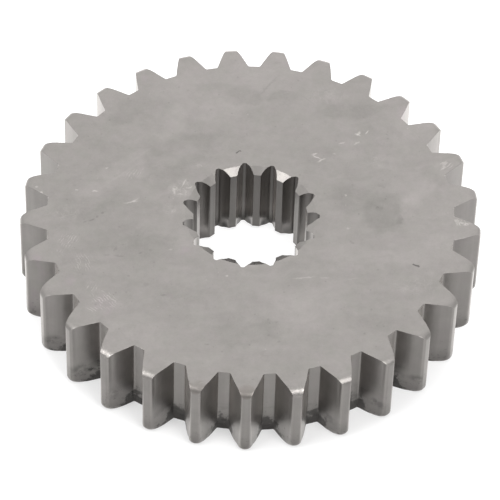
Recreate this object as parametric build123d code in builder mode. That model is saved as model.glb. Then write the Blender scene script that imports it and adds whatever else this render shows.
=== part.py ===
# Chain sprocket: one solid toothed wheel with a splined bore.
# Units mm. Origin: the bore axis at the bottom face. +Z runs along the bore.
# One tooth and one bore groove are centred on +Y.
import os
from math import atan2, cos, hypot, pi, sin

from build123d import *

os.makedirs("parts", exist_ok=True)

# ---------------------------------------------------------------- dimensions
TEETH = 29                # outer teeth
FACE_WIDTH = 17.0         # length of the wheel along the axis
TIP_R = 44.55             # outside radius
ROOT_R = 39.36            # radius of the gap floors
# flank: (radius, half thickness of the tooth) from the gap floor to the tip
FLANK = [(39.36, 3.130), (40.06, 2.840), (40.66, 2.600), (41.36, 2.315),
         (42.06, 2.010), (42.66, 1.735), (43.30, 1.432), (43.90, 1.145),
         (44.55, 0.840)]
TIP_CORNER = 0.30         # length taken off each side of a tip corner by its rounding
ROOT_CORNER = 0.22        # the same at the foot of a flank
TOP_EASE_R, TOP_EASE_Z = 1.30, 1.15      # rounding of the tooth ends at the top face
BOTTOM_EASE_R, BOTTOM_EASE_Z = 0.90, 0.60  # and at the bottom face

GROOVES = 15              # grooves of the splined bore
MINOR_R = 11.10           # bore radius over the lands
# groove: (radius, half width) from inside the bore to the groove root
GROOVE = [(10.30, 1.690), (11.10, 1.610), (11.50, 1.510), (11.93, 1.350),
          (12.30, 1.150), (12.65, 0.910), (13.00, 0.620), (13.22, 0.430)]
GROOVE_ROOT_R = 13.42     # radius of the groove roots
MOUTH_R = 12.70           # radius of the mouth chamfer on both faces
MOUTH_Z = 0.94            # depth of the chamfer at the lands


def unit(v):
    n = hypot(v[0], v[1])
    return (v[0] / n, v[1] / n)


def turn(p, a):
    return (p[0] * cos(a) - p[1] * sin(a), p[0] * sin(a) + p[1] * cos(a))


def rounded_corner(before, corner, after, t):
    """Start, middle and end of the arc that rounds a corner, t off each side."""
    u = unit((before[0] - corner[0], before[1] - corner[1]))
    w = unit((after[0] - corner[0], after[1] - corner[1]))
    b = unit((u[0] + w[0], u[1] + w[1]))
    c = u[0] * b[0] + u[1] * b[1]              # cosine of half the corner angle
    s = (1 - c * c) ** 0.5
    r = t * s / c
    m = r / s - r
    return ((corner[0] + u[0] * t, corner[1] + u[1] * t),
            (corner[0] + b[0] * m, corner[1] + b[1] * m),
            (corner[0] + w[0] * t, corner[1] + w[1] * t))


def flank_point(r):
    for (r0, h0), (r1, h1) in zip(FLANK, FLANK[1:]):
        if r <= r1:
            h = h0 + (h1 - h0) * (r - r0) / (r1 - r0)
            return (h, (r * r - h * h) ** 0.5)


# one tooth about the +Y direction, from its right foot over the tip to its left
tip = flank_point(TIP_R)
tip_next = (0.0, TIP_R)
tip_arc = rounded_corner(flank_point(TIP_R - 0.6), tip, tip_next, TIP_CORNER)
foot = flank_point(ROOT_R)
half_pitch = pi / TEETH
floor_a = pi / 2 - atan2(foot[1], foot[0])
floor_mid = (ROOT_R * sin(floor_a + 0.02), ROOT_R * cos(floor_a + 0.02))
foot_arc = rounded_corner(floor_mid, foot, flank_point(ROOT_R + 0.7), ROOT_CORNER)
flank_pts = [foot_arc[2]] + [flank_point(r) for r, _ in FLANK[1:-1]] + [tip_arc[0]]


def mirror_x(p):
    return (-p[0], p[1])


with BuildPart() as sprocket:
    with BuildSketch() as section:
        with BuildLine():
            step = 2 * pi / TEETH
            for k in range(TEETH):
                a = -k * step
                right = [turn(p, a) for p in flank_pts]
                left = [turn(mirror_x(p), a) for p in flank_pts]
                ra = [turn(p, a) for p in tip_arc]
                la = [turn(mirror_x(p), a) for p in tip_arc]
                rf = [turn(p, a) for p in foot_arc]
                lf = [turn(mirror_x(p), a) for p in foot_arc]
                # left foot of this tooth, its flanks and its tip, right foot, gap floor
                ThreePointArc(lf[0], lf[1], lf[2])
                Spline(*left)
                ThreePointArc(la[0], la[1], la[2])
                ThreePointArc(la[2], turn((0, TIP_R), a), ra[2])
                ThreePointArc(ra[2], ra[1], ra[0])
                Spline(*right[::-1])
                ThreePointArc(rf[2], rf[1], rf[0])
                nxt = turn(mirror_x(foot_arc[0]), a - step)
                mid = turn((0, ROOT_R), a - step / 2)
                ThreePointArc(rf[0], mid, nxt)
        make_face()
    extrude(amount=FACE_WIDTH)

    # the tooth ends are rounded over at both faces
    with BuildSketch(Plane.XZ) as ease:
        with BuildLine():
            x0, z0 = TIP_R - TOP_EASE_R, FACE_WIDTH
            x1, z1 = TIP_R, FACE_WIDTH - TOP_EASE_Z
            m = (x1 - 0.293 * TOP_EASE_R, z0 - 0.293 * TOP_EASE_Z)
            ThreePointArc((x0, z0), m, (x1, z1))
            Polyline((x1, z1), (x1 + 1, z1), (x1 + 1, z0 + 1), (x0, z0 + 1), (x0, z0))
        make_face()
        with BuildLine():
            x0, z0 = TIP_R - BOTTOM_EASE_R, 0.0
            x1, z1 = TIP_R, BOTTOM_EASE_Z
            m = (x1 - 0.293 * BOTTOM_EASE_R, z0 + 0.293 * BOTTOM_EASE_Z)
            ThreePointArc((x0, z0), m, (x1, z1))
            Polyline((x1, z1), (x1 + 1, z1), (x1 + 1, z0 - 1), (x0, z0 - 1), (x0, z0))
        make_face()
    revolve(axis=Axis.Z, mode=Mode.SUBTRACT)

    # splined bore
    with BuildSketch() as bore:
        Circle(MINOR_R)
        with BuildSketch(mode=Mode.PRIVATE) as groove:
            with BuildLine():
                side = [(h, (r * r - h * h) ** 0.5) for r, h in GROOVE]
                other = [mirror_x(p) for p in side]
                Spline(*side)
                ThreePointArc(side[-1], (0, GROOVE_ROOT_R), other[-1])
                Spline(*other[::-1])
                Line(other[0], side[0])
            make_face()
        with PolarLocations(0, GROOVES):
            add(groove.sketch)
    extrude(amount=FACE_WIDTH, mode=Mode.SUBTRACT)

    # mouth chamfers of the bore
    grow = (MOUTH_R - MINOR_R) / MOUTH_Z
    over = 0.5
    reach = MOUTH_Z + 0.4
    for z, d in ((FACE_WIDTH, -1), (0.0, 1)):
        with BuildSketch(Plane.XZ):
            with BuildLine():
                Polyline((0, z - d * over), (MOUTH_R + grow * over, z - d * over),
                         (MOUTH_R - grow * reach, z + d * reach), (0, z + d * reach),
                         close=True)
            make_face()
        revolve(axis=Axis.Z, mode=Mode.SUBTRACT)

sprocket.part.label = "sprocket"
export_step(sprocket.part, "parts/sprocket.step")
print("volume", sprocket.part.volume, "valid", sprocket.part.is_valid)
print(sprocket.part.bounding_box())
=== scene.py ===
import math
import random

import bpy
from mathutils import Matrix, Vector
from mathutils.geometry import tessellate_polygon


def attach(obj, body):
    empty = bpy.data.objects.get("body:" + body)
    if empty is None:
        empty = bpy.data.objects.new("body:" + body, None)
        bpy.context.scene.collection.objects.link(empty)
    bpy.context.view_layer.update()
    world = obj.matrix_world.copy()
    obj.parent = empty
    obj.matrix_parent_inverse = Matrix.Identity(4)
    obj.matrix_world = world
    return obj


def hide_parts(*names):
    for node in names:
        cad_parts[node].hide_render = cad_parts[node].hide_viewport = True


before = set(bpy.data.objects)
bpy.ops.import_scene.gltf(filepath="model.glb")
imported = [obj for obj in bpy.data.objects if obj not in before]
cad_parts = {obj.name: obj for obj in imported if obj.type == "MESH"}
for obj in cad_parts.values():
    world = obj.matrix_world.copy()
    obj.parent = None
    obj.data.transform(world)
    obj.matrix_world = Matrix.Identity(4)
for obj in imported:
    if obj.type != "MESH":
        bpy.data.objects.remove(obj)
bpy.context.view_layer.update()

MM = 0.001

# ------------------------------------------------------------------ shape (mm)
TEETH = 29
WIDTH = 17.0
TIP_R = 44.545
ROOT_R = 39.36
FLANK = [(39.36, 3.130), (40.06, 2.840), (40.66, 2.600), (41.36, 2.315),
         (42.06, 2.010), (42.66, 1.735), (43.30, 1.432), (43.90, 1.140),
         (44.60, 0.815)]
TIP_CORNER = 0.58
LOW_CORNER = 0.86
FOOT_CORNER = 0.24
# radial and axial size at the tip, edge size at the foot and at the tip, extra corner size, bluntness
TOP_EASE = (1.62, 1.38, 0.05, 0.24, 0.95, 1.0)
BOTTOM_EASE = (1.25, 1.15, 0.06, 0.85, 0.60, 1.8)

GROOVES = 15
MINOR_R = 11.10
GROOVE = [(11.10, 1.610), (11.50, 1.510), (11.93, 1.350), (12.30, 1.150),
          (12.65, 0.910), (13.00, 0.620), (13.22, 0.430)]
GROOVE_R = 13.42
MOUTH_R = 12.70
MOUTH_Z = 0.94
MOUTH_K = MOUTH_Z / (MOUTH_R - MINOR_R)


def curve(table):
    """Smooth monotone interpolation of a short table of (x, y)."""
    xs = [p[0] for p in table]
    ys = [p[1] for p in table]
    d = [(ys[i + 1] - ys[i]) / (xs[i + 1] - xs[i]) for i in range(len(xs) - 1)]
    m = [d[0]] + [(d[i] + d[i + 1]) / 2 for i in range(len(d) - 1)] + [d[-1]]

    def at(x):
        i = 0
        while i < len(xs) - 2 and x > xs[i + 1]:
            i += 1
        h = xs[i + 1] - xs[i]
        t = (x - xs[i]) / h
        t = max(-0.5, min(1.5, t))
        h00 = 2 * t ** 3 - 3 * t ** 2 + 1
        h10 = t ** 3 - 2 * t ** 2 + t
        h01 = -2 * t ** 3 + 3 * t ** 2
        h11 = t ** 3 - t ** 2
        return h00 * ys[i] + h10 * h * m[i] + h01 * ys[i + 1] + h11 * h * m[i + 1]
    return at


flank = curve(FLANK)
groove = curve(GROOVE)


def smooth(t):
    t = max(0.0, min(1.0, t))
    return t * t * (3 - 2 * t)


# ----------------------------------------------- outer outline, ring by ring
def half_tooth(ease, c, s, grow=1.0, corner0=TIP_CORNER):
    """Right half of one tooth from the gap centre to the tip centre: (x, y, depth, zone)."""
    a, h, r0, r1, soft, full = ease
    a, h = a * grow, h * grow
    rc = TIP_R - a * c
    rr = ROOT_R - r0 * c
    pts = []

    def edge(r):
        u = max(0.0, min(1.0, (r - ROOT_R) / (TIP_R - ROOT_R)))
        return r0 + (r1 - r0) * smooth((u - 0.30) / 0.65)

    def depth(r):
        if full > 1.0:
            return (r0 + (h - r0) * smooth((r - 41.6) / 2.3)) * s
        t = max(0.0, min(1.0, (r - (TIP_R - a)) / a))
        turned = h * (1.0 - math.sqrt(max(0.0, 1.0 - t * t)))
        return turned + edge(r) * s * (1.0 - smooth((r - (TIP_R - a)) / a * 1.1))

    # foot of the flank
    foot_x = flank(rr) - edge(rr) * c
    foot_a = math.asin(foot_x / rr)
    fa = foot_a + FOOT_CORNER / rr
    n = 4
    for i in range(n):
        t = math.pi / TEETH + (fa - math.pi / TEETH) * i / n
        pts.append((rr * math.sin(t), rr * math.cos(t), depth(rr), 0.0))
    # rounded foot corner: quadratic from the floor to the flank
    p0 = Vector((rr * math.sin(fa), rr * math.cos(fa)))
    p1 = Vector((foot_x, math.sqrt(rr * rr - foot_x * foot_x)))
    r2 = rr + FOOT_CORNER
    x2 = flank(r2) - edge(r2) * c
    p2 = Vector((x2, math.sqrt(r2 * r2 - x2 * x2)))
    for i in range(4):
        t = i / 4
        q = p0 * (1 - t) ** 2 + p1 * 2 * t * (1 - t) + p2 * t * t
        pts.append((q.x, q.y, depth(q.length), 0.0))
    # flank
    n = 12
    spread = math.sqrt(c)
    corner = corner0 + soft * spread
    ra, rb = r2, rc - corner
    for i in range(n + 1):
        u = i / n
        r = ra + (rb - ra) * u
        x = flank(r) - edge(r) * c
        pts.append((x, math.sqrt(r * r - x * x), depth(r), u))
    # tip corner
    xm = pts[-1][0]
    blunt = min(1.0, full * spread)
    cx = min(corner * 0.9, xm * 0.8) * (1.0 - blunt) + xm * 0.93 * blunt
    for i in range(1, 6):
        t = i / 5 * math.pi / 2
        r = rb + corner * math.sin(t)
        x = xm - cx * (1 - math.cos(t)) - 0.10 * math.sin(t) * min(1, xm)
        x = max(x, 0.06)
        pts.append((x, math.sqrt(r * r - x * x), depth(r), 1.5 if 2 <= i <= 3 else 1.0))
    # land
    xl = pts[-1][0]
    for i in range(1, 3):
        x = xl * (1 - i / 2)
        pts.append((x, math.sqrt(rc * rc - x * x), depth(rc), 1.0))
    return pts


rng = random.Random(7)
tooth_grow = [1.0 + rng.uniform(-0.10, 0.10) for _ in range(TEETH)]
for k, g in ((13, 1.14), (14, 1.20), (15, 0.88), (16, 1.04), (17, 1.16), (18, 1.16)):
    tooth_grow[k] = g


# Per tooth: burnished tooth ends, which also carry a painted highlight.
BURNISH_AND_HIGHLIGHT = {12: 0.35, 13: 0.02, 14: 1.00, 17: 0.50, 18: 0.90, 11: 0.15}
# Per tooth: brownish discolouring on the tooth ends, darkened further as painted shade.
STAIN_AND_SHADE = {15: 0.85, 16: 0.6}


def ring(ease, c, s, top, corner0=TIP_CORNER, lift=0.0):
    out = []
    for k in range(TEETH):
        half = half_tooth(ease, c, s, tooth_grow[k], corner0)
        ang = -k * 2 * math.pi / TEETH
        ca, sa = math.cos(ang), math.sin(ang)
        # clockwise from the gap on the left of this tooth to the gap on its right
        seq = [(-x, y, d, u) for x, y, d, u in half] + half[::-1][1:][:-1]
        for x, y, d, u in seq:
            z = WIDTH - d - lift if top else d + lift
            out.append(((x * ca - y * sa, x * sa + y * ca, z), u, k))
    return out


verts = []
faces = []
ease_w = []          # how far over the edge rounding a vertex is, 0 on flat faces
burnish_highlight_w = []          # how strongly a tooth end is burnished and lightened by a painted highlight
stain_shade_w = []         # how strongly a tooth end is discoloured brownish and darkened by painted shade
edge_highlight_w = []          # 1 along the two long edges of a tooth tip, where a painted highlight lightens the wall
gap_w = []           # 1 on the floor of a gap, fading up the flanks


def add_ring(pts, w, burnish_glint=0.0):
    base = len(verts)
    for p, u, k in pts:
        verts.append((p[0] * MM, p[1] * MM, p[2] * MM))
        ease_w.append(w)
        burnish_highlight_w.append(BURNISH_AND_HIGHLIGHT.get(k, 0.0) * smooth((u - 0.75) / 0.25) * burnish_glint if k >= 0 else 0.0)
        stain_shade_w.append(STAIN_AND_SHADE.get(k, 0.0) * smooth((u - 0.60) / 0.35) * min(1.0, burnish_glint * 3.0))
        gap_w.append(max(0.0, 1.0 - 1.5 * u) if k >= 0 else 0.0)
        edge_highlight_w.append(1.0 if 1.2 < u < 1.6 else 0.0)
    return list(range(base, base + len(pts)))


def bridge(a, b):
    n = len(a)
    for i in range(n):
        j = (i + 1) % n
        faces.append((a[i], a[j], b[j], b[i]))


rings = []
steps = 7
for i in range(steps + 1):
    psi = math.pi / 2 * (1 - i / steps)
    rings.append(add_ring(ring(TOP_EASE, 1 - math.cos(psi), 1 - math.sin(psi), True),
                          math.sin(2 * psi), math.sin(2 * psi) * math.cos(psi) / 0.77))
top_outer = rings[0]
side = ring(TOP_EASE, 0, 1, True)
mid_top = rings[-1]
steps_b = 7
bottom = [add_ring(ring(BOTTOM_EASE, 0, 1, False, TIP_CORNER, 3.4), 0.0),
          add_ring(ring(BOTTOM_EASE, 0, 1, False, (TIP_CORNER + LOW_CORNER) / 2 - 0.05, 1.2), 0.0)]
for i in range(steps_b + 1):
    psi = math.pi / 2 * (i / steps_b)
    bottom.append(add_ring(ring(BOTTOM_EASE, 1 - math.cos(psi), 1 - math.sin(psi), False, LOW_CORNER),
                           0.5 * math.sin(2 * psi)))
rings += bottom
for a, b in zip(rings, rings[1:]):
    bridge(b, a)
bottom_outer = rings[-1]
sharp_rings = [top_outer, bottom_outer]

# ------------------------------------------------------------- bore outline
def half_groove():
    """From the land centre to the groove root centre: (r, angle from the groove centre)."""
    out = []
    land = math.asin(GROOVE[0][1] / MINOR_R)
    n = 4
    for i in range(n):
        t = math.pi / GROOVES + (land - math.pi / GROOVES) * i / n
        out.append((MINOR_R, t))
    out.append((MINOR_R + 0.02, land + 0.004))
    r = MINOR_R + 0.12
    out.append((r, math.asin(groove(r) / r)))
    for r in (11.5, 11.9, 12.3, MOUTH_R, 12.95, 13.18):
        out.append((r, math.asin(groove(r) / r)))
    # rounded groove root
    r0 = 13.18
    h0 = groove(r0)
    for i in range(1, 6):
        t = i / 5 * math.pi / 2
        x = h0 * math.cos(t)
        y = r0 + (GROOVE_R - r0) * math.sin(t)
        out.append((math.hypot(x, y), math.atan2(x, y)))
    return out


hg = half_groove()
bore = []
for k in range(GROOVES):
    c0 = math.pi / 2 - k * 2 * math.pi / GROOVES
    bore += [(r, c0 + t) for r, t in hg] + [(r, c0 - t) for r, t in hg[::-1][1:][:-1]]


def z_cut(r):
    return max(0.0, (MOUTH_R - r) * MOUTH_K) if r < MOUTH_R - 1e-6 else 0.0


def bore_ring(f):
    """f = 0 at the upper end of the wall and 1 at the lower end."""
    pts = []
    for r, t in bore:
        zt, zb = WIDTH - z_cut(r), z_cut(r)
        pts.append(((r * math.cos(t), r * math.sin(t), zt + (zb - zt) * f), 0, -1))
    return add_ring(pts, 0.0)


bore_rings = [bore_ring(f) for f in (0.0, 0.04, 0.3, 0.6, 0.96, 1.0)]
for a, b in zip(bore_rings, bore_rings[1:]):
    bridge(a, b)

# mouth chamfers: from the wall's end to the circle MOUTH_R on each face
on_circle = [r >= MOUTH_R - 1e-6 for r, _ in bore]
nb = len(bore)
edge_angle = math.asin(groove(MOUTH_R) / MOUTH_R)
land_angle = 2 * math.pi / GROOVES - 2 * edge_angle


def circle_angles():
    """For each wall point inside MOUTH_R, its partner's angle on the circle."""
    ang = [t for _, t in bore]
    out = list(ang)
    i = 0
    runs = []
    start = next(k for k in range(nb) if on_circle[k] and not on_circle[(k + 1) % nb])
    k = start
    done = 0
    while done < nb:
        run = [k % nb]
        k += 1
        done += 1
        while not on_circle[k % nb]:
            run.append(k % nb)
            k += 1
            done += 1
        run.append(k % nb)
        if len(run) > 2:
            runs.append(run)
    for run in runs:
        a0, a1 = ang[run[0]], ang[run[-1]]
        while a1 > a0:
            a1 -= 2 * math.pi
        pts = []
        for q in run:
            r, t = bore[q]
            pts.append(Vector((r * math.cos(t), r * math.sin(t))))
        seg = [0.0]
        for p, q in zip(pts, pts[1:]):
            seg.append(seg[-1] + (q - p).length)
        for q, l in zip(run, seg):
            out[q] = a0 + (a1 - a0) * l / seg[-1]
    return out, runs


circ, runs = circle_angles()
face_loops = []
for wall, zface, sign in ((bore_rings[0], WIDTH, -1), (bore_rings[-1], 0.0, 1)):
    loop = list(wall)
    rows = {}
    m = 4
    for run in runs:
        for q in run[1:-1]:
            r, t = bore[q]
            col = [wall[q]]
            for j in range(1, m + 1):
                f = j / m
                rr = r + (MOUTH_R - r) * f
                tt = circ[q]
                dt = (tt - t + math.pi) % (2 * math.pi) - math.pi
                tt = t + dt * f
                z = zface + sign * (MOUTH_R - rr) * MOUTH_K
                verts.append((rr * math.cos(tt) * MM, rr * math.sin(tt) * MM, z * MM))
                ease_w.append(0.0)
                burnish_highlight_w.append(0.0)
                edge_highlight_w.append(0.0)
                gap_w.append(0.0)
                stain_shade_w.append(0.0)
                col.append(len(verts) - 1)
            rows[q] = col
            loop[q] = col[-1]
        for q0, q1 in zip(run, run[1:]):
            c0 = rows.get(q0, [wall[q0]] * (m + 1))
            c1 = rows.get(q1, [wall[q1]] * (m + 1))
            for j in range(m):
                quad = [c0[j], c1[j], c1[j + 1], c0[j + 1]]
                tri = []
                for v in quad:
                    if v not in tri:
                        tri.append(v)
                if len(tri) >= 3:
                    faces.append(tuple(tri) if sign == 1 else tuple(tri[::-1]))
    face_loops.append(loop)
    sharp_rings.append(loop)
    sharp_rings.append(wall)

# flat faces
for outer, inner, up in ((top_outer, face_loops[0], True), (bottom_outer, face_loops[1], False)):
    ids = outer + inner
    polys = [[Vector((verts[i][0], verts[i][1], 0)) for i in outer],
             [Vector((verts[i][0], verts[i][1], 0)) for i in inner]]
    for t in tessellate_polygon(polys):
        tri = [ids[i] for i in t]
        a, b, c = (Vector(verts[i]) for i in tri)
        n = (b - a).cross(c - a)
        if n.length < 1e-16:
            continue
        if (n.z > 0) != up:
            tri = tri[::-1]
        faces.append(tuple(tri))

mesh = bpy.data.meshes.new("sprocket_visual")
mesh.from_pydata(verts, [], faces)
mesh.validate(clean_customdata=False)
for name, values in (("ease", ease_w), ("burnish_highlight", burnish_highlight_w), ("tip_edge_highlight", edge_highlight_w), ("gap", gap_w), ("stain_and_shade", stain_shade_w)):
    attr = mesh.attributes.new(name, "FLOAT", "POINT")
    attr.data.foreach_set("value", values)
mesh.update()

sprocket = bpy.data.objects.new("sprocket_visual", mesh)
bpy.context.scene.collection.objects.link(sprocket)

# smooth walls, sharp where two faces meet at more than 26 degrees, or at more than 1 degree next to a flat top or
# bottom face
import bmesh
bm = bmesh.new()
bm.from_mesh(mesh)
bmesh.ops.remove_doubles(bm, verts=bm.verts, dist=1e-7)
bmesh.ops.recalc_face_normals(bm, faces=bm.faces)
for f in bm.faces:
    f.smooth = True
for e in bm.edges:
    if len(e.link_faces) == 2:
        a, b = e.link_faces
        ang = a.normal.angle(b.normal, 0.0)
        flat = abs(a.normal.z) > 0.9999 or abs(b.normal.z) > 0.9999
        e.smooth = not (ang > math.radians(26) or (flat and ang > math.radians(1.0)))
bm.to_mesh(mesh)
open_edges = sum(1 for e in bm.edges if len(e.link_faces) != 2)
print("visual mesh", len(bm.verts), "verts", len(bm.faces), "faces", "open edges", open_edges)
bm.free()

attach(sprocket, "root")
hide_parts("sprocket")


# -------------------------------------------------------------------- materials
class Nodes:
    def __init__(self, mat):
        mat.use_nodes = True
        self.t = mat.node_tree
        self.t.nodes.clear()

    def new(self, kind, **props):
        n = self.t.nodes.new(kind)
        for k, v in props.items():
            setattr(n, k, v)
        return n

    def put(self, sock, value):
        if isinstance(value, bpy.types.NodeSocket):
            self.t.links.new(value, sock)
        elif value is not None:
            sock.default_value = value

    def math(self, op, a, b=None, c=None, clamp=False):
        n = self.new("ShaderNodeMath", operation=op, use_clamp=clamp)
        self.put(n.inputs[0], a)
        if b is not None:
            self.put(n.inputs[1], b)
        if c is not None:
            self.put(n.inputs[2], c)
        return n.outputs[0]

    def vec(self, op, a, b=None, c=None, scale=None):
        n = self.new("ShaderNodeVectorMath", operation=op)
        self.put(n.inputs[0], a)
        if b is not None:
            self.put(n.inputs[1], b)
        if c is not None:
            self.put(n.inputs[2], c)
        if scale is not None:
            self.put(n.inputs["Scale"], scale)
        return n.outputs["Value"] if op in ("LENGTH", "DOT_PRODUCT", "DISTANCE") else n.outputs[0]

    def ramp(self, x, lo, hi, a=0.0, b=1.0, kind="SMOOTHSTEP"):
        n = self.new("ShaderNodeMapRange", interpolation_type=kind, clamp=kind == "LINEAR")
        self.put(n.inputs[0], x)
        for i, v in zip((1, 2, 3, 4), (lo, hi, a, b)):
            self.put(n.inputs[i], v)
        return n.outputs[0]

    def noise(self, v, scale, detail=3.0, rough=0.5, dist=0.0, dims="3D"):
        n = self.new("ShaderNodeTexNoise", noise_dimensions=dims)
        self.put(n.inputs["Vector"], v)
        self.put(n.inputs["Scale"], scale)
        self.put(n.inputs["Detail"], detail)
        self.put(n.inputs["Roughness"], rough)
        self.put(n.inputs["Distortion"], dist)
        return n.outputs[0]

    def mix(self, f, a, b, blend="MIX"):
        n = self.new("ShaderNodeMix", data_type="RGBA", blend_type=blend, clamp_factor=True)
        self.put(n.inputs["Factor"], f)
        self.put(n.inputs[6], a)
        self.put(n.inputs[7], b)
        return n.outputs[2]

    def fmix(self, f, a, b):
        n = self.new("ShaderNodeMix", data_type="FLOAT", clamp_factor=True)
        self.put(n.inputs["Factor"], f)
        self.put(n.inputs[2], a)
        self.put(n.inputs[3], b)
        return n.outputs[0]


# The walls, and the bore walls more so, get a darker base colour than the face: painted shade, set for how light falls
# on them.
BASE_FACE = 0.2400
BASE_WALL_SHADED = 0.209
BASE_BORE_SHADED = 0.131

steel = bpy.data.materials.new("satin_steel")
N = Nodes(steel)
coord = N.new("ShaderNodeTexCoord").outputs["Object"]
mm = N.vec("SCALE", coord, scale=1000.0)
sep = N.new("ShaderNodeSeparateXYZ")
N.put(sep.inputs[0], mm)
X, Y, Z = sep.outputs
flat_v = N.new("ShaderNodeCombineXYZ")
N.put(flat_v.inputs[0], X)
N.put(flat_v.inputs[1], Y)
flat = flat_v.outputs[0]
radius = N.vec("LENGTH", flat)
geo = N.new("ShaderNodeNewGeometry")
nsep = N.new("ShaderNodeSeparateXYZ")
N.put(nsep.inputs[0], geo.outputs["Normal"])
nz = N.math("ABSOLUTE", nsep.outputs[2])
is_face = N.ramp(nz, 0.45, 0.95)
is_top = N.ramp(Z, 8.0, 9.0)


def attribute(name):
    n = N.new("ShaderNodeAttribute", attribute_name=name)
    return n.outputs["Fac"]


ease = attribute("ease")
burnish_highlight = attribute("burnish_highlight")
tip_edge_highlight = attribute("tip_edge_highlight")
gap = attribute("gap")
stain_and_shade = attribute("stain_and_shade")

# cloudy stains of the machined face, plus a few wide patches of painted light and shade: wobble the coordinates, then
# soft patches
def wobble(scale, detail, size):
    n = N.new("ShaderNodeTexNoise", noise_dimensions="3D")
    N.put(n.inputs["Vector"], mm)
    n.inputs["Scale"].default_value = scale
    n.inputs["Detail"].default_value = detail
    v = N.vec("SUBTRACT", n.outputs["Color"], (0.5, 0.5, 0.5))
    return N.vec("ADD", flat, N.vec("MULTIPLY", v, (size, size, 0)))


def swapped(v):
    """The same position with x and y exchanged."""
    a = N.new("ShaderNodeSeparateXYZ")
    N.put(a.inputs[0], v)
    b = N.new("ShaderNodeCombineXYZ")
    N.put(b.inputs[0], a.outputs[1])
    N.put(b.inputs[1], a.outputs[0])
    return b.outputs[0]


soft_pos = wobble(0.20, 4.0, 7.0)
hard_pos = wobble(1.1, 2.0, 0.8)
soft_swap = swapped(soft_pos)
hard_swap = swapped(hard_pos)


def blob(cx, cy, rx, ry, rot=0.0, lo=0.25, pos=None, amp=1.0):
    """amp inside a soft ellipse on the face, 0 outside."""
    p, q = (soft_pos, soft_swap) if pos is None else (hard_pos, hard_swap)
    c, s = math.cos(math.radians(rot)), math.sin(math.radians(rot))
    v = (-(cx * c + cy * s) / rx, (cx * s - cy * c) / ry, 0)
    if rot:
        v = N.vec("MULTIPLY_ADD", q, (s / rx, -s / ry, 0), v)
    v = N.vec("MULTIPLY_ADD", p, (c / rx, c / ry, 0), v)
    return N.ramp(N.vec("LENGTH", v), 1.0, lo, 0.0, amp)


def total(values):
    """Sum of a generator, so that each term is made just before it is added."""
    out = None
    for v in values:
        out = v if out is None else N.math("ADD", out, v)
    return out


DARK = [  # centre, radii, turn, hardness, change of brightness
    (26.3, -1.6, 5.4, 6.2, 0, 0.60, -0.115), (21.0, 2.2, 6.5, 5.0, -20, 0.35, -0.080),
    (18.0, 5.0, 4.0, 4.5, 0, 0.30, -0.045), (-25.5, -5.0, 9.5, 6.0, 0, 0.35, -0.055),
    (-19.5, -7.0, 7.0, 5.0, 0, 0.35, -0.045), (-32.0, 4.3, 5.2, 3.8, 15, 0.40, -0.060),
    (-25.0, 6.0, 6.0, 3.2, 20, 0.30, -0.040), (-22.1, 27.6, 4.8, 3.8, 0, 0.40, -0.075),
    (-14.8, 19.7, 6.0, 3.4, 10, 0.40, -0.065), (-8.6, 19.7, 4.0, 3.4, 0, 0.40, -0.055),
    (-12.5, 12.5, 8.0, 4.6, 25, 0.30, -0.045), (-4.1, -29.2, 9.0, 5.0, 0, 0.45, -0.055),
    (1.2, -29.2, 3.0, 3.2, 0, 0.55, -0.050), (-8.0, -25.6, 4.5, 2.6, 0, 0.45, -0.040),
    (-15.0, -19.0, 8.5, 4.4, -10, 0.35, -0.055), (24.8, 26.2, 3.8, 3.8, 0, 0.45, -0.080),
    (18.1, 25.8, 4.8, 3.2, 0, 0.40, -0.060), (9.2, 29.6, 4.4, 2.4, 0, 0.60, -0.050),
    (1.4, 31.5, 4.2, 2.4, 0, 0.60, -0.045), (20.5, -29.1, 4.4, 3.4, 0, 0.40, -0.055),
    # The wide strip at (0, -39) is painted shade along the front of the face; the wide blob at (-36, 2) darkens the
    # left of the face.
    (0.0, -39.0, 20.0, 4.0, 0, 0.30, -0.030), (-36.0, 2.0, 26.0, 30.0, 0, 0.05, -0.022), (33.0, -20.0, 5.0, 3.0, 40, 0.30, -0.040),
    (13.0, -4.0, 3.0, 5.0, 0, 0.30, -0.030), (-4.0, 21.0, 5.0, 3.0, 0, 0.30, -0.030),
    (-29.0, 21.0, 3.0, 2.4, 0, 0.40, -0.050), (36.5, 6.5, 3.5, 2.2, -50, 0.40, -0.045),
]
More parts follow.
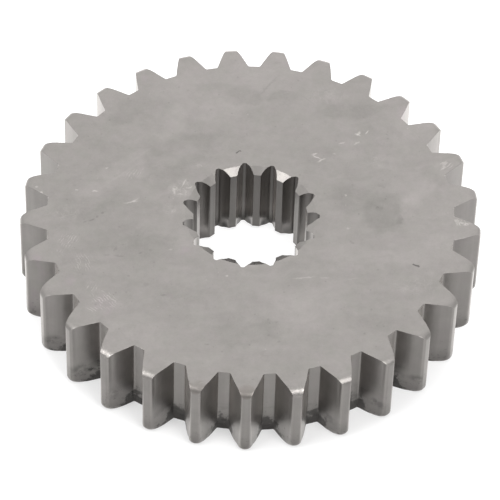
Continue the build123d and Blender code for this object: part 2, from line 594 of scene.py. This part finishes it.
LIGHT = [
    (-31.0, 6.9, 9.0, 3.0, 46, 0.40, 0.065), (-22.5, 14.2, 8.0, 3.2, 42, 0.40, 0.065),
    (-13.5, 25.0, 9.0, 3.6, 55, 0.40, 0.055), (33.3, 3.2, 5.0, 3.2, 60, 0.45, 0.075),
    (36.5, -9.5, 5.0, 5.0, 0, 0.35, 0.050), (16.8, -10.7, 8.5, 3.2, -10, 0.40, 0.050),
    (27.5, -12.5, 8.5, 3.0, 0, 0.40, 0.045), (-4.3, 27.4, 6.5, 5.0, 0, 0.40, 0.050),
    (9.0, -24.5, 9.5, 7.0, 0, 0.40, 0.055), (-24.5, -25.8, 7.0, 5.5, 0, 0.35, 0.040),
    (-12.8, -5.8, 4.4, 5.0, 0, 0.40, 0.050), (34.8, 21.0, 6.5, 5.0, -40, 0.35, 0.060),
    # The long band at (7.1, 35.8) is painted light near the rear edge of the face.
    (7.1, 35.8, 16.0, 4.5, 0, 0.30, 0.045), (-10.0, 36.0, 10.0, 4.0, 15, 0.30, 0.035),
    (-40.0, 3.0, 4.0, 5.0, 0, 0.35, 0.040), (3.0, -20.0, 5.0, 3.0, 0, 0.35, 0.030),
    (20.0, 14.0, 5.0, 4.0, 0, 0.35, 0.040), (14.0, 21.0, 5.0, 3.0, -30, 0.35, 0.030),
    # The wide blobs at (0, 44), (3, 46) and (44, 4) are painted light towards the rear and right of the face.
    (0.0, 44.0, 40.0, 5.0, 0, 0.10, 0.020), (3.0, 46.0, 52.0, 30.0, 0, 0.05, 0.050),
    (44.0, 4.0, 34.0, 34.0, 0, 0.05, 0.050), (-12.8, 7.3, 3.2, 2.1, 25, 0.60, 0.060),
]
# Real stains and the wide patches of painted light and shade above, summed.
stain_and_painted_light = total(blob(x, y, rx, ry, rot, lo, None, amp) for x, y, rx, ry, rot, lo, amp in DARK + LIGHT)
# Brownish discolouring on the face at the ends of teeth 15 and 16, which also darkens them: a real discolouring plus
# painted shade.
brown_face_and_shade = N.math("MAXIMUM", blob(-4.7, -43.2, 2.6, 3.4, 0, 0.3), blob(-13.8, -41.4, 2.4, 2.6, 0, 0.3, None, 0.6))
brown_face_and_shade = N.math("MULTIPLY", brown_face_and_shade, N.math("MULTIPLY", is_top, N.ramp(nz, 0.15, 0.55)))
# a few reddish smudges
red = total(blob(x, y, r, r, 0, 0.2, None, amp) for x, y, r, amp in
            ((-30.0, -20.5, 2.4, 0.55), (-36.5, -14.8, 1.6, 1.0), (-41.6, -7.6, 1.6, 0.9),
              (-13.0, -8.7, 1.2, 0.8), (33.0, 24.0, 3.0, 0.6), (-18.0, 38.0, 2.0, 0.7),
              (-18.0, -19.0, 1.4, 0.6), (12.0, 40.0, 2.5, 0.5)))
cloud = N.noise(mm, 0.11, 4.0, 0.55)
mottle = N.noise(mm, 0.55, 4.0, 0.6)
grain = N.noise(mm, 3.2, 3.0, 0.6)
hue = N.noise(N.vec("ADD", mm, (31.0, 7.0, 3.0)), 0.30, 3.0, 0.6)
stain_and_painted_light = N.math("ADD", stain_and_painted_light, N.ramp(cloud, 0.30, 0.70, -0.035, 0.035, "LINEAR"))
stain_and_painted_light = N.math("ADD", stain_and_painted_light, N.ramp(mottle, 0.30, 0.70, -0.048, 0.048, "LINEAR"))
stain_and_painted_light = N.math("ADD", stain_and_painted_light, N.ramp(grain, 0.30, 0.70, -0.027, 0.027, "LINEAR"))

# broad wiping streaks across the face
sm = N.new("ShaderNodeMapping", vector_type="POINT")
N.put(sm.inputs["Vector"], soft_pos)
sm.inputs["Rotation"].default_value = (0, 0, math.radians(-42))
sm.inputs["Scale"].default_value = (0.05, 0.55, 1)
streak = N.noise(sm.outputs[0], 1.0, 3.0, 0.55)
stain_and_painted_light = N.math("ADD", stain_and_painted_light, N.ramp(streak, 0.32, 0.68, -0.024, 0.024, "LINEAR"))
# irregular tide marks: thin dark outlines of dried stains
tide_n = N.noise(soft_pos, 0.33, 2.0, 0.5)
tide = N.ramp(N.math("ABSOLUTE", N.math("SUBTRACT", tide_n, 0.56)), 0.012, 0.0)
tide = N.math("MULTIPLY", tide, N.ramp(hue, 0.45, 0.60))
stain_and_painted_light = N.math("MULTIPLY_ADD", tide, -0.035, stain_and_painted_light)


# groups of fine parallel scratches
def hatch(cx, cy, rx, ry, rot, line_rot, period, amp):
    t, k = math.radians(line_rot), 2 * math.pi / period
    w = N.math("SINE", N.vec("DOT_PRODUCT", hard_pos, (-k * math.sin(t), k * math.cos(t), 0)))
    line = N.ramp(w, 0.10, 0.95, 0.0, amp)
    return N.math("MULTIPLY", N.math("MULTIPLY", line, worn), blob(cx, cy, rx, ry, rot, 0.5, hard_pos))


worn = N.ramp(N.noise(mm, 0.9, 2.0, 0.6), 0.40, 0.56)
marks = total(hatch(*h) for h in (
    (-35.5, -3.9, 2.4, 2.2, 10, 58, 0.50, 0.30), (-33.1, -9.7, 2.6, 2.8, 0, 112, 0.50, 0.26),
    (-29.6, -19.2, 3.6, 2.4, -40, 128, 0.52, 0.30), (-31.7, -15.8, 1.6, 1.4, 0, 60, 0.50, 0.24),
    (-31.5, -21.3, 1.8, 1.0, 0, 130, 0.55, 0.26), (-37.6, -7.0, 1.4, 1.2, 0, 80, 0.52, 0.18),
    (-21.5, 12.3, 3.0, 1.4, 30, 60, 0.55, 0.16), (39.2, 10.0, 1.8, 1.6, 0, 40, 0.60, 0.28)))


# crossing bright scratches: thin ridges of a stretched noise
def ridges(scale, width, seed, stretch=(1, 1, 1), rot=0.0):
    m = N.new("ShaderNodeMapping", vector_type="POINT")
    N.put(m.inputs["Vector"], hard_pos)
    m.inputs["Location"].default_value = (seed, seed * 0.7, 0)
    m.inputs["Rotation"].default_value = (0, 0, math.radians(rot))
    m.inputs["Scale"].default_value = stretch
    n = N.noise(m.outputs[0], scale, 1.0, 0.4)
    d = N.math("ABSOLUTE", N.math("SUBTRACT", n, 0.5))
    return N.ramp(d, width, 0.0)


rid = N.math("MAXIMUM", ridges(0.9, 0.020, 3.0, (1, 0.5, 1), 40),
             ridges(0.8, 0.018, 17.0, (0.5, 1, 1), 10))
scr_mask = None
for cx, cy, rx, ry, rot, amp in ((-12.9, 7.6, 3.2, 2.6, 30, 0.50), (26.0, 12.0, 4.0, 3.0, 0, 0.20),
                                 (-36.0, 3.0, 5.0, 2.5, 0, 0.25), (18.0, 30.0, 5.0, 3.0, 0, 0.2),
                                 (30.0, -20.0, 6.0, 3.0, 0, 0.25), (-8.4, 13.4, 1.6, 1.0, 0, 0.5),
                                 (40.4, -5.0, 2.4, 1.2, -20, 0.9), (-15.5, 2.5, 1.6, 2.6, 0, 0.4)):
    v = blob(cx, cy, rx, ry, rot, 0.3, hard_pos, amp)
    scr_mask = v if scr_mask is None else N.math("MAXIMUM", scr_mask, v)
marks = N.math("ADD", marks, N.math("MULTIPLY", N.math("MULTIPLY", rid, scr_mask), 0.55))
rub = N.math("MULTIPLY", scr_mask, N.ramp(mottle, 0.42, 0.60))
marks = N.math("ADD", marks, N.math("MULTIPLY", rub, 0.12))


# single short strokes: half length, half width, turn
def stroke(cx, cy, length, width, rot, amp):
    return blob(cx, cy, length, width, rot, 0.25, hard_pos, amp)


STROKES = [
    (14.2, 13.9, 1.5, 0.26, -38, 0.55), (15.0, 13.0, 1.4, 0.24, 30, 0.45), (14.0, 14.8, 0.7, 0.30, 10, 0.50),
    (17.7, 14.6, 0.5, 0.26, 0, 0.25), (23.1, 19.6, 0.9, 0.30, 55, 0.45), (22.9, 19.2, 0.8, 0.26, -30, 0.40),
    (24.9, 19.8, 0.9, 0.26, 50, 0.50), (22.5, 17.1, 1.0, 0.26, 25, 0.28), (19.6, 17.3, 0.9, 0.26, 15, 0.30),
    (-22.8, 4.9, 1.9, 0.30, 8, 0.35), (-22.0, 5.3, 1.1, 0.24, 35, 0.30), (-29.6, 8.2, 0.9, 0.34, 0, 0.40),
    (-33.1, 8.9, 0.4, 0.30, 0, 0.35), (-12.2, 9.2, 1.4, 0.26, 60, 0.35), (-14.3, 7.2, 0.4, 1.3, 10, 0.30),
    (-11.2, 7.8, 1.0, 0.22, 20, 0.30), (-13.2, 6.3, 0.9, 0.24, -30, 0.25), (8.6, -16.6, 3.2, 0.22, 2, 0.26),
    (12.6, -16.9, 1.4, 0.20, -6, 0.20), (18.0, -17.5, 2.0, 0.18, 4, 0.12), (18.8, 3.7, 0.34, 0.34, 0, 0.40),
    (-5.97, -15.0, 0.42, 0.36, 0, 0.45), (-26.9, 14.1, 0.42, 0.42, 0, 0.30), (18.3, -4.9, 0.30, 0.30, 0, 0.25),
    (-40.1, 8.7, 0.50, 0.40, 0, 0.60), (-40.8, 10.2, 0.36, 0.30, 0, 0.35), (38.6, 9.4, 1.2, 0.30, 50, 0.35),
    (39.0, 10.6, 1.0, 0.40, 40, 0.30), (41.0, -5.2, 2.0, 0.26, -10, 0.20), (-16.2, -7.7, 0.6, 0.26, 20, 0.22),
    (-11.5, -43.2, 1.4, 0.18, 5, 0.20), (-13.0, -40.6, 1.0, 0.16, 0, 0.14),
    (-24.4, 12.0, 6.3, 0.35, 36, 0.05), (-20.0, 17.0, 5.0, 0.30, 40, 0.04),
    # dark ones
    (6.7, 33.7, 4.9, 0.32, 50, -0.10), (9.9, 31.9, 2.4, 0.22, -15, -0.07), (14.0, 29.4, 2.9, 0.22, -46, -0.07),
    (-30.8, 0.9, 0.8, 0.36, 15, -0.20), (-32.0, 0.5, 0.6, 0.26, 35, -0.14), (-29.6, 1.6, 0.5, 0.30, 45, -0.16),
    (-28.5, 2.6, 0.5, 0.34, 0, -0.18), (-26.6, -6.8, 1.0, 0.40, 50, -0.12), (-26.0, -8.6, 1.4, 0.34, -15, -0.13),
    (-28.4, -8.2, 0.8, 0.36, 0, -0.10), (-22.0, -8.2, 0.4, 0.30, 0, -0.18), (-19.9, -7.6, 0.3, 0.50, 0, -0.12),
    (-18.3, -19.0, 0.8, 0.36, 0, -0.18), (-21.4, -16.0, 0.7, 0.6, 0, -0.09), (25.0, -0.3, 1.2, 0.60, 10, -0.10),
    (24.6, 0.0, 0.6, 0.26, 30, -0.12), (28.6, -3.6, 0.9, 2.2, -20, -0.09), (39.8, 7.3, 0.9, 1.1, 0, -0.20),
    (26.0, 5.5, 1.2, 0.5, -20, -0.09), (-24.5, -13.7, 0.4, 0.34, 0, -0.16), (18.8, -8.6, 0.5, 0.4, 0, -0.12),
    (9.0, 39.8, 1.2, 0.5, 0, -0.07), (-20.3, 38.6, 1.3, 0.5, 0, -0.09), (-3.2, -32.2, 0.4, 0.3, 0, -0.18),
    (-11.0, -31.5, 0.5, 0.3, 0, -0.18), (-8.5, -33.4, 0.3, 0.3, 0, -0.16), (2.4, -31.8, 0.5, 0.3, 0, -0.14),
]
marks = N.math("ADD", marks, total(stroke(*v) for v in STROKES))


# scattered light and dark specks
def specks(scale, size, keep, seed):
    v = N.new("ShaderNodeTexVoronoi", feature="F1")
    N.put(v.inputs["Vector"], N.vec("ADD", mm, (seed, seed, seed)))
    v.inputs["Scale"].default_value = scale
    pick = N.new("ShaderNodeSeparateColor")
    N.put(pick.inputs[0], v.outputs["Color"])
    return N.math("MULTIPLY", N.ramp(v.outputs["Distance"], size, size * 0.4),
                  N.ramp(pick.outputs[0], keep, keep + 0.02))


light_specks = specks(0.42, 0.085, 0.84, 5.0)
dark_specks = N.math("MAXIMUM", specks(0.50, 0.15, 0.70, 41.0), specks(0.9, 0.17, 0.84, 11.0))
marks = N.math("ADD", marks, N.math("MULTIPLY", light_specks, 0.20))
marks = N.math("SUBTRACT", marks, N.math("MULTIPLY", dark_specks, 0.11))


# two short curved nicks
def nick(cx, cy, length, width, rot, bend):
    m = N.new("ShaderNodeMapping", vector_type="TEXTURE")
    N.put(m.inputs["Vector"], hard_pos)
    m.inputs["Location"].default_value = (cx, cy, 0)
    m.inputs["Rotation"].default_value = (0, 0, math.radians(rot))
    sp = N.new("ShaderNodeSeparateXYZ")
    N.put(sp.inputs[0], m.outputs[0])
    y = N.math("SUBTRACT", sp.outputs[1], N.math("MULTIPLY", N.math("MULTIPLY", sp.outputs[0], sp.outputs[0]), bend))
    across = N.ramp(N.math("ABSOLUTE", y), width, width * 0.3)
    along = N.ramp(N.math("ABSOLUTE", sp.outputs[0]), length, length * 0.7)
    return N.math("MULTIPLY", across, along)


nicks = N.math("MAXIMUM", nick(-0.95, 16.5, 0.62, 0.25, 25, -0.5), nick(30.4, -15.1, 0.78, 0.26, -35, -0.35))
marks = N.math("MULTIPLY", marks, is_top)
nicks = N.math("MULTIPLY", nicks, is_top)

face_level = N.math("MULTIPLY", N.math("ADD", N.math("ADD", stain_and_painted_light, marks), 1.0), BASE_FACE)
face_level = N.math("MULTIPLY", face_level, N.math("SUBTRACT", 1.0, N.math("MULTIPLY", nicks, 0.54)))

# walls: faint drawn streaks along the axis, painted shade low in the gaps
wall_v = N.new("ShaderNodeCombineXYZ")
N.put(wall_v.inputs[0], X)
N.put(wall_v.inputs[1], Y)
N.put(wall_v.inputs[2], N.math("MULTIPLY", Z, 0.05))
draw = N.noise(wall_v.outputs[0], 0.9, 2.0, 0.5)
soft_wall = N.noise(mm, 0.28, 3.0, 0.6)
outer = N.ramp(radius, 30.0, 31.0)
wall_var = N.math("ADD", N.ramp(draw, 0.3, 0.7, -0.05, 0.05, "LINEAR"),
                  N.ramp(soft_wall, 0.3, 0.7, -0.06, 0.06, "LINEAR"))


def smudge(x, y, z, across, up, amp):
    """amp inside a soft ball on the outer wall, 0 outside."""
    v = N.vec("MULTIPLY_ADD", mm, (1.0 / across, 1.0 / across, 1.0 / up), (-x / across, -y / across, -z / up))
    return N.ramp(N.vec("LENGTH", v), 1.0, 0.25, 0.0, amp)


# dirt low on single flanks
SMUDGES = [(11.4, -40.4, 3.9, 2.8, 1.9, 0.85), (20.9, -37.6, 4.0, 3.0, 1.8, 1.0), (29.2, -32.6, 4.3, 2.6, 1.4, 1.0),
           (-34.7, -25.4, 4.0, 3.0, 2.4, 1.0), (-28.9, -32.4, 5.0, 2.6, 2.6, 0.8), (-20.3, -37.3, 4.6, 2.2, 2.2, 0.6),
           (-39.6, -17.4, 3.6, 2.6, 2.0, 0.9)]
dirt = total(smudge(*s) for s in SMUDGES)
# Painted shade: patchy darkening low on the outer walls and on the gap floors between the teeth, raised a little by the
# dirt smudges.
dirt_and_shade_noise = N.noise(N.vec("ADD", mm, (3.0, 9.0, 0.0)), 0.55, 4.0, 0.65)
gap_shade_field = N.math("MULTIPLY_ADD", gap, 0.30, N.ramp(Z, 6.5, 0.0, 0.0, 0.46, "LINEAR"))
gap_shade_field = N.math("ADD", gap_shade_field, N.math("MULTIPLY", N.math("SUBTRACT", dirt_and_shade_noise, 0.5), 0.90))
gap_shade_field = N.math("MULTIPLY_ADD", dirt, 0.16, gap_shade_field)
gap_shade = N.math("MULTIPLY", N.ramp(gap_shade_field, 0.45, 0.58), outer)
smear_n = N.noise(N.vec("MULTIPLY", mm, (0.3, 0.3, 1.0)), 0.9, 3.0, 0.6)
smear = N.math("MULTIPLY", N.math("MULTIPLY", N.ramp(smear_n, 0.50, 0.66), N.ramp(Z, 9.0, 4.5)), outer)
spot_n = N.noise(mm, 1.4, 4.0, 0.7)
spots = N.math("MULTIPLY", N.ramp(N.math("ADD", spot_n, N.ramp(Z, 9.0, 2.0, -0.08, 0.05, "LINEAR")), 0.60, 0.70), outer)
wall_level = N.math("MULTIPLY", N.math("ADD", wall_var, 1.0), N.fmix(outer, BASE_BORE_SHADED, BASE_WALL_SHADED))
wall_level = N.math("MULTIPLY", wall_level, N.math("SUBTRACT", 1.0, N.math("MULTIPLY", gap_shade, 0.56)))
wall_level = N.math("MULTIPLY", wall_level, N.math("SUBTRACT", 1.0, N.math("MULTIPLY", spots, 0.30)))
wall_level = N.math("MULTIPLY", wall_level, N.math("SUBTRACT", 1.0, N.math("MULTIPLY", smear, N.math("MULTIPLY", gap, 0.20))))
# Painted highlight: the wall is 12% lighter along the two long edges of each tooth tip.
wall_level = N.math("MULTIPLY", wall_level, N.math("MULTIPLY_ADD", tip_edge_highlight, 0.12, 1.0))
dirt = N.math("MULTIPLY", dirt, N.ramp(dirt_and_shade_noise, 0.36, 0.60))
wall_level = N.math("MULTIPLY", wall_level, N.math("MULTIPLY_ADD", dirt, -0.36, 1.0))

# Painted light and shade on the walls: the bore walls are darker towards the floor and at the groove roots, the groove
# walls lighter (up to 1.38 and 1.2 times), and the outer walls darker towards the floor.
in_groove = N.math("MULTIPLY", N.ramp(radius, 11.15, 11.80), N.math("SUBTRACT", 1.0, outer))
groove_end_painted_shade = N.fmix(N.ramp(N.math("ABSOLUTE", X), 5.0, 7.5), N.ramp(radius, 12.2, 13.1, 0.15, 0.50), 0.55)
groove_painted_light_and_shade = N.math("MULTIPLY", N.fmix(N.ramp(Z, 0.9, 3.4), groove_end_painted_shade, 1.0), N.ramp(Z, 8.0, 4.0, 1.0, 1.20))
bore_painted_light_and_shade = N.fmix(in_groove, N.ramp(Z, 0.8, 1.8, 0.85, 1.0), groove_painted_light_and_shade)
bore_painted_light_and_shade = N.math("MULTIPLY", bore_painted_light_and_shade, N.ramp(radius, 12.8, 13.35, 1.0, 0.66))
wall_painted_light_and_shade = N.fmix(outer, bore_painted_light_and_shade, N.ramp(Z, 0.0, 5.5, 0.72, 1.0))
wall_painted_light_and_shade = N.math("MULTIPLY", wall_painted_light_and_shade, N.math("MULTIPLY_ADD", in_groove, 0.38, 1.0))
wall_level = N.math("MULTIPLY", wall_level, wall_painted_light_and_shade)
level = N.fmix(is_face, wall_level, face_level)
# burnished tooth ends, streaky: real burnishing with lower roughness, plus a painted highlight that makes the colour up
# to 34% lighter
rubv = N.new("ShaderNodeCombineXYZ")
N.put(rubv.inputs[0], X)
N.put(rubv.inputs[1], Y)
N.put(rubv.inputs[2], N.math("MULTIPLY", Z, 1.0))
rub_n = N.noise(rubv.outputs[0], 2.2, 3.0, 0.65)
burnish_glint = N.math("MULTIPLY", burnish_highlight, N.ramp(rub_n, 0.46, 0.57))
brown_tint_and_shade = N.math("MAXIMUM", stain_and_shade, N.math("MULTIPLY", brown_face_and_shade, 0.85))
level = N.math("MULTIPLY", level, N.math("MULTIPLY_ADD", burnish_glint, 0.34, 1.0))
# Painted shade: the colour is made 5% darker over the rounded ends of the outer teeth.
level = N.math("MULTIPLY", level, N.math("MULTIPLY_ADD", N.math("MULTIPLY", ease, outer), -0.05, 1.0))
# Browner and darker where the tooth ends are discoloured: real discolouring plus painted shade.
level = N.math("MULTIPLY", level, N.math("MULTIPLY_ADD", brown_tint_and_shade, -0.19, 1.0))

# Painted reflection: the colour is made up to 3.9 times lighter on the face and 2.4 times on the walls where they are
# seen edge-on.
grazing_sheen = N.new("ShaderNodeLayerWeight")
grazing_sheen.inputs["Blend"].default_value = 0.5
level = N.math("MULTIPLY", level, N.ramp(grazing_sheen.outputs["Facing"], 0.42, 0.95, 1.0, N.fmix(outer, N.fmix(is_face, 3.9, 2.4), 2.4)))

tint = N.math("ADD", N.ramp(hue, 0.32, 0.68, -0.8, 0.8, "LINEAR"), N.math("MULTIPLY", stain_and_painted_light, 6.0))
tint = N.math("MULTIPLY_ADD", red, 3.0, tint)
col = N.new("ShaderNodeCombineColor")
N.put(col.inputs[0], N.math("MULTIPLY", level, N.math("MULTIPLY_ADD", tint, 0.008, 1.030)))
N.put(col.inputs[1], N.math("MULTIPLY", level, N.math("MULTIPLY_ADD", brown_tint_and_shade, -0.025, N.math("MULTIPLY_ADD", tint, -0.005, 0.976))))
N.put(col.inputs[2], N.math("MULTIPLY", level, N.math("MULTIPLY_ADD", brown_tint_and_shade, -0.05, N.math("MULTIPLY_ADD", tint, 0.008, 0.930))))

rough = N.math("ADD", N.ramp(mottle, 0.3, 0.7, 0.37, 0.43, "LINEAR"), N.math("MULTIPLY", stain_and_painted_light, -0.2))
wall_rough = N.math("ADD", N.ramp(soft_wall, 0.3, 0.7, 0.32, 0.38, "LINEAR"), N.math("MULTIPLY", gap_shade, 0.15))
wall_rough = N.fmix(outer, 0.42, wall_rough)
rough = N.fmix(is_face, wall_rough, rough)
chamfer = N.math("MULTIPLY", N.ramp(radius, 12.78, 12.66), N.ramp(nz, 0.97, 0.90))
rough = N.fmix(chamfer, rough, 0.285)
rough = N.fmix(N.math("MULTIPLY", ease, 0.6), rough, 0.38)
rough = N.fmix(burnish_glint, rough, 0.32)

height = N.math("ADD", N.math("MULTIPLY", grain, 0.35), N.math("MULTIPLY", mottle, 0.5))
height = N.math("SUBTRACT", height, N.math("MULTIPLY", nicks, 2.0))
height = N.math("ADD", height, N.math("MULTIPLY", N.fmix(is_face, draw, 0.5), 0.25))
bump = N.new("ShaderNodeBump")
bump.inputs["Strength"].default_value = 0.25
bump.inputs["Distance"].default_value = 0.00003
N.put(bump.inputs["Height"], height)

bsdf = N.new("ShaderNodeBsdfPrincipled")
N.put(bsdf.inputs["Base Color"], col.outputs[0])
bsdf.inputs["Metallic"].default_value = 1.0
N.put(bsdf.inputs["Roughness"], rough)
N.put(bsdf.inputs["Normal"], bump.outputs[0])
outn = N.new("ShaderNodeOutputMaterial")
N.put(outn.inputs[0], bsdf.outputs[0])
mesh.materials.append(steel)

# ------------------------------------------------------------------------ stage
floor_mesh = bpy.data.meshes.new("floor")
S = 3.0
floor_mesh.from_pydata([(-S, -S, 0), (S, -S, 0), (S, S, 0), (-S, S, 0)], [], [(0, 1, 2, 3)])
floor = bpy.data.objects.new("floor", floor_mesh)
floor.location.z = -0.00002
bpy.context.scene.collection.objects.link(floor)
fmat = bpy.data.materials.new("pale_floor")
F = Nodes(fmat)
fb = F.new("ShaderNodeBsdfPrincipled")
fb.inputs["Base Color"].default_value = (0.50, 0.50, 0.50, 1)
fb.inputs["Emission Color"].default_value = (1, 1, 1, 1)
# a lit table: brightest under the bore, so that the hole reads as white
fpos = F.new("ShaderNodeTexCoord").outputs["Object"]
back = F.vec("DOT_PRODUCT", fpos, (0.1156, 0.9933, 0))
around = F.ramp(back, -0.036, 0.006, 0.395, 0.70)
F.put(fb.inputs["Emission Strength"], F.fmix(F.ramp(F.vec("LENGTH", fpos), 0.030, 0.016), around, 0.71))
fb.inputs["Roughness"].default_value = 0.9
fb.inputs["Specular IOR Level"].default_value = 0.1
fo = F.new("ShaderNodeOutputMaterial")
F.put(fo.inputs[0], fb.outputs[0])
floor_mesh.materials.append(fmat)

world = bpy.data.worlds.new("studio")
bpy.context.scene.world = world
W = Nodes(world)
gen = W.new("ShaderNodeTexCoord").outputs["Generated"]
wsep = W.new("ShaderNodeSeparateXYZ")
W.put(wsep.inputs[0], gen)
a_cam = math.radians(-6.64)
rear_dir = (-math.sin(a_cam) * 0.7071, math.cos(a_cam) * 0.7071, 0.7071)
toward = W.vec("DOT_PRODUCT", gen, rear_dir)
wl = W.ramp(toward, 0.40, 1.0, 0.92, 1.66)
for az in (-118, 118):
    a = math.radians(az) + a_cam
    low = W.vec("DOT_PRODUCT", gen, (math.sin(a) * 0.985, -math.cos(a) * 0.985, 0.174))
    wl = W.math("ADD", wl, W.ramp(low, 0.70, 1.0, 0.0, 0.32))
bg = W.new("ShaderNodeBackground")
wc = W.new("ShaderNodeCombineColor")
for i in range(3):
    W.put(wc.inputs[i], wl)
W.put(bg.inputs[0], wc.outputs[0])
bg.inputs[1].default_value = 1.0
wo = W.new("ShaderNodeOutputWorld")
W.put(wo.inputs[0], bg.outputs[0])


def softbox(name, az, el, dist, size, power, color=(1, 1, 1)):
    """A soft area light; azimuth 0 is the camera's side, positive towards its right."""
    light = bpy.data.lights.new(name, "AREA")
    light.shape = "RECTANGLE"
    light.size, light.size_y = size
    light.energy = power
    light.color = color
    o = bpy.data.objects.new(name, light)
    a = math.radians(az + CAM_AZ)
    e = math.radians(el)
    d = Vector((math.sin(a) * math.cos(e), -math.cos(a) * math.cos(e), math.sin(e)))
    o.location = d * dist
    o.rotation_euler = d.to_track_quat("Z", "Y").to_euler()
    bpy.context.scene.collection.objects.link(o)
    return o


# ----------------------------------------------------------------------- camera
F_PX = 3672.77
EL = 0.863865
ROLL = -0.0329
TX, TY, DIST = 0.1481, 6.8316, 709.291
PHASE = 1.6867
CAM_AZ = -math.degrees(PHASE - math.pi / 2)

ce, se = math.cos(EL), math.sin(EL)
cr, sr = math.cos(ROLL), math.sin(ROLL)
ex = Vector((1, 0, 0))
ey = Vector((0, se, ce))
right = cr * ex - sr * ey
upv = sr * ex + cr * ey
fwd = Vector((0, ce, -se))
loc = -(TX * right + TY * upv + DIST * fwd)
turn = Matrix.Rotation(-(PHASE - math.pi / 2), 3, "Z")
right, upv, fwd, loc = turn @ right, turn @ upv, turn @ fwd, turn @ loc + Vector((0, 0, WIDTH))
cam_data = bpy.data.cameras.new("camera")
cam_data.lens = F_PX / 500 * 36
cam_data.sensor_width = 36
cam_data.clip_start = 0.01
cam_data.clip_end = 20
cam = bpy.data.objects.new("camera", cam_data)
m = Matrix.Identity(4)
for i in range(3):
    m[i][0], m[i][1], m[i][2], m[i][3] = right[i], upv[i], -fwd[i], loc[i] * MM
cam.matrix_world = m
bpy.context.scene.collection.objects.link(cam)
bpy.context.scene.camera = cam

softbox("soft_left", -61, 46, 1.2, (0.48, 0.86), 6.1)
softbox("soft_right", 43, 48, 1.2, (0.52, 0.90), 7.5)

scene = bpy.context.scene
scene.view_settings.view_transform = "Standard"
scene.view_settings.look = "None"
scene.view_settings.exposure = 0.0
scene.view_settings.gamma = 1.0
